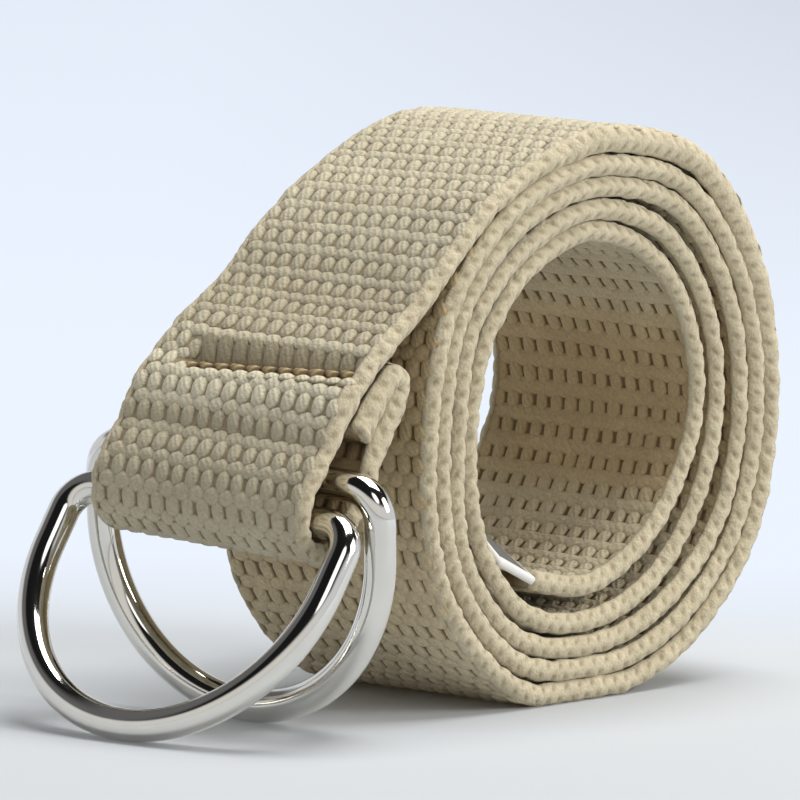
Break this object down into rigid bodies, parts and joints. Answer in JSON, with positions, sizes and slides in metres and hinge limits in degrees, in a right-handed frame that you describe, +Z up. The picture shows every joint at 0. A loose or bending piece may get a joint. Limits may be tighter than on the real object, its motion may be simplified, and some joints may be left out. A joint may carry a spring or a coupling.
{
  "type": "web belt with d-rings",
  "caption": "Cotton web belt with D-rings, rolled into a coil that stands on its outer turn, its strap end propped on the rings.",
  "frame": {"origin": "in the flat of the outer turn on which the coil stands, midway across the webbing", "axes": "+X from the rings towards the coil, +Y across the webbing away from the side with the label, +Z up"},
  "size_m": [0.1213, 0.0545, 0.0808],
  "materials": {
    "web": "matte undyed heavy cotton weave",
    "label": "close white woven tape, slight sheen",
    "ring": "polished nickel plate"
  },
  "bodies": {
    "band": {"webbing": "web", "label": "label"},
    "front_ring": {"ring_front": "ring"},
    "rear_ring": {"ring_rear": "ring"}
  },
  "joints": [
    {"name": "front_ring_swing", "type": "hinge", "parent": "band", "child": "front_ring", "pos_m": [-0.06035, 0.00095, 0.03055], "axis": [-0.0331, 0.9988, 0.0349], "range_deg": [-15, 115]},
    {"name": "rear_ring_swing", "type": "hinge", "parent": "band", "child": "rear_ring", "pos_m": [-0.0566, -0.0003, 0.03597], "axis": [-0.0331, 0.9977, 0.0593], "range_deg": [-31, 1]}
  ]
}
